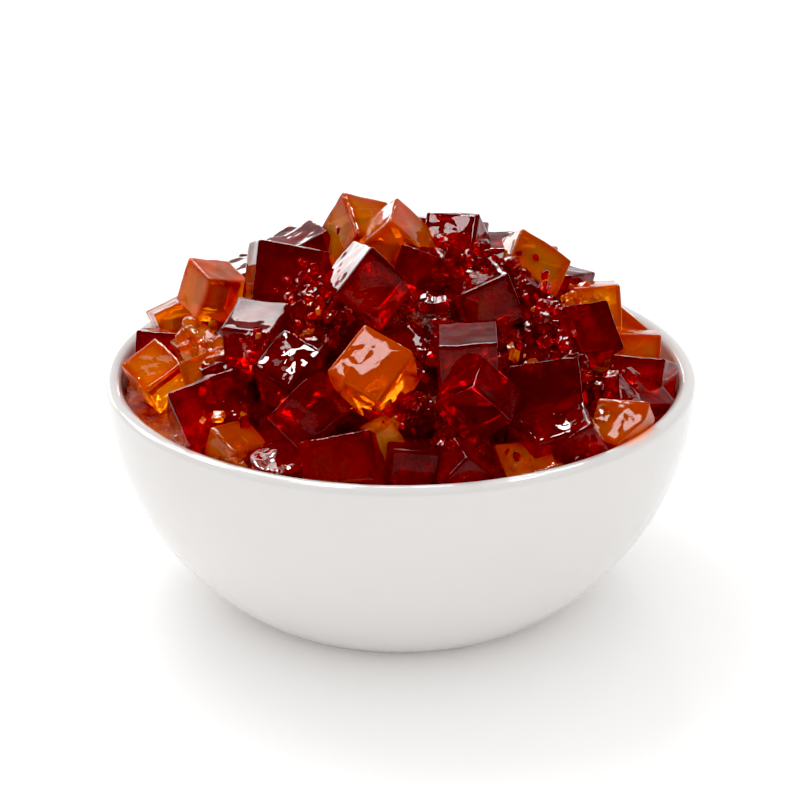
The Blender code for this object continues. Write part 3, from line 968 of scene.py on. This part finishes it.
def rubble_points(crumbs, kind, form):
    """Place, turning, size and shade of every broken piece of a kind and a form."""
    rng = random.Random(f"{crumbs.seed} {kind} {form}")
    placed = []
    for spot_kind, spot_form, across, back, up, spread, count, largest in RUBBLE:
        for _ in range(count):
            place = [
                (across + rng.gauss(0, spread / 2)) * MM,
                (back + rng.gauss(0, spread / 2)) * MM,
                (up + rng.gauss(0, CRUMB_RISE)) * MM,
            ]
            share = crumbs.smallest + (1 - crumbs.smallest) * rng.random() ** CRUMB_SMALLNESS
            size = largest * MM * share
            squash = [size * rng.uniform(CRUMB_SQUASH, 1.0) for _ in range(3)]
            turning = [rng.uniform(0, 2 * math.pi) for _ in range(3)]
            stray_kind = rng.random() < crumbs.mixing
            stray_form = rng.random() < crumbs.mixing
            if (spot_kind == kind) != stray_kind and (spot_form == form) != stray_form:
                placed.append((place, turning, squash, rng.uniform(*CRUMB_SHADES)))
    return placed


class JELLY_OT_rubble(bpy.types.Operator):
    """Scatter the broken jelly between the cubes, one piece for each kind and form"""

    bl_idname = "jelly.rubble"
    bl_label = "Broken jelly"

    def execute(self, context):
        scene = context.scene
        crumbs = scene.jelly_crumbs
        trees = {"shards": block_tree("broken_shards", SHARD_STEPS), "blobs": blob_tree()}
        for form, tree in trees.items():
            for kind in ("ruby", "amber"):
                laid = rubble_points(crumbs, kind, form)
                values = {"Skew": crumbs.skew, "Waviness": crumbs.waviness}
                lay_pieces(scene, f"{kind}_{form}", kind, tree, laid, True, values)
        return {"FINISHED"}


# ---------------------------------------------------------------- the stage


def floor_material():
    """Plain white board."""
    made, _tree, shader, _output = new_material("stage_floor")
    shader.inputs["Base Color"].default_value = (0.93, 0.93, 0.93, 1.0)
    shader.inputs["Roughness"].default_value = 0.6
    shader.inputs["Emission Color"].default_value = (1.0, 0.93, 0.87, 1.0)
    shader.inputs["Emission Strength"].default_value = 0.09
    return made


def softbox(name, azimuth, elevation, distance, size, brightness, gloss_only=True):
    """A soft light seen from the heap at an azimuth (0 is +Y, 90 is +X) and elevation in
    degrees. Its brightness is that of its face, where 1 is white. One that is for gloss only
    shows in reflections and casts no light on matt surfaces."""
    data = bpy.data.lights.new(name, "AREA")
    data.shape = "RECTANGLE"
    data.size, data.size_y = size
    data.energy = brightness * math.pi * size[0] * size[1]
    lamp = linked(name, data)
    a, e = math.radians(azimuth), math.radians(elevation)
    way = Vector((math.sin(a) * math.cos(e), math.cos(a) * math.cos(e), math.sin(e)))
    lamp.location = Vector(LIGHTS_AIM) + way * distance
    lamp.rotation_euler = (-way).to_track_quat("-Z", "Y").to_euler()
    lamp.visible_diffuse = not gloss_only


def sky(scene):
    """A plain white studio surround. In reflections it is dark at the front and overhead, as
    it is where the camera and the room are, and white at the back."""
    world = bpy.data.worlds.new("studio")
    scene.world = world
    world.use_nodes = True
    tree = Tree(world.node_tree)
    way = tree.add("ShaderNodeTexCoord").outputs["Generated"]
    axes = tree.add("ShaderNodeSeparateXYZ", {0: way})
    back = tree.maths("MULTIPLY_ADD", axes.outputs[1], SKY_TO_BACK, SKY_SIDES)
    mirrored = ramp(tree, tree.maths("MULTIPLY_ADD", axes.outputs[2], SKY_TO_TOP, back), (
        (0.3, (0.02, 0.02, 0.02)), (0.8, (0.9, 0.9, 0.9)),
    ))
    path = tree.add("ShaderNodeLightPath")
    soft = tree.maths("MAXIMUM", path.outputs["Is Diffuse Ray"], path.outputs["Is Transmission Ray"])
    soft = tree.maths("MAXIMUM", soft, path.outputs["Is Camera Ray"])
    mix = tree.add("ShaderNodeMix", {"Factor": soft}, data_type="RGBA")
    tree.tree.links.new(mirrored, mix.inputs["A"])
    mix.inputs["B"].default_value = (1.0, 1.0, 1.0, 1.0)
    background = world.node_tree.nodes["Background"]
    world.node_tree.links.new(mix.outputs["Result"], background.inputs["Color"])
    background.inputs["Strength"].default_value = 1.0


class JELLY_OT_stage(bpy.types.Operator):
    """Set the floor, the lights and the camera"""

    bl_idname = "jelly.stage"
    bl_label = "Stage"

    def execute(self, context):
        scene = context.scene
        stage = scene.jelly_stage
        mesh = bpy.data.meshes.new("floor")
        corners = [(x * FLOOR_HALF, y * FLOOR_HALF, 0.0)
                   for x, y in ((-1, -1), (1, -1), (1, 1), (-1, 1))]
        mesh.from_pydata(corners, [], [(0, 1, 2, 3)])
        mesh.materials.append(floor_material())
        linked("floor", mesh)
        for light in GLOSS_LIGHTS:
            softbox(*light)
        for azimuth, elevation in SPARKLE_WAYS:
            softbox("sparkle_lamp", azimuth, elevation, *SPARKLE)
        softbox(*KEY_LIGHT, gloss_only=False)
        sky(scene)
        data = bpy.data.cameras.new("camera")
        camera = linked("camera", data)
        middle = Vector(CAMERA_AIM)
        away = Vector((0.0, -math.cos(stage.elevation), math.sin(stage.elevation)))
        camera.location = middle + away * stage.distance
        camera.rotation_euler = Euler((math.pi / 2 - stage.elevation + stage.tilt_up, 0.0, 0.0))
        data.lens = stage.lens / MM
        data.sensor_width = SENSOR_WIDTH_MM
        scene.camera = camera
        view = scene.view_settings
        view.view_transform = "Standard"
        view.use_curve_mapping = True
        view.curve_mapping.black_level = (BLACK_LEVEL,) * 3
        view.curve_mapping.update()
        return {"FINISHED"}


class JELLY_PT_panel(bpy.types.Panel):
    """Lists the steps that build the dish"""

    bl_label = "Jelly"
    bl_idname = "JELLY_PT_panel"
    bl_space_type = "VIEW_3D"
    bl_region_type = "UI"
    bl_category = "Jelly"

    def draw(self, context):
        for step in STEPS:
            self.layout.operator(step.bl_idname)


SETTINGS = (
    ("jelly_bowl", BowlSettings),
    ("jelly_heap", HeapSettings),
    ("jelly_colours", JellySettings),
    ("jelly_crumbs", CrumbSettings),
    ("jelly_stage", StageSettings),
)
STEPS = (JELLY_OT_bowl, JELLY_OT_core, JELLY_OT_cubes, JELLY_OT_rubble, JELLY_OT_stage)


def register():
    """Registers the settings, the steps and the panel."""
    for name, group in SETTINGS:
        bpy.utils.register_class(group)
        setattr(bpy.types.Scene, name, bpy.props.PointerProperty(type=group))
    for step in (*STEPS, JELLY_PT_panel):
        bpy.utils.register_class(step)


def unregister():
    """Takes away what register() added."""
    for step in reversed((*STEPS, JELLY_PT_panel)):
        bpy.utils.unregister_class(step)
    for name, group in reversed(SETTINGS):
        delattr(bpy.types.Scene, name)
        bpy.utils.unregister_class(group)


def main():
    """Builds everything in order."""
    register()
    bpy.ops.jelly.bowl()
    bpy.ops.jelly.core()
    bpy.ops.jelly.cubes()
    bpy.ops.jelly.rubble()
    bpy.ops.jelly.stage()


if __name__ == "__main__":
    main()
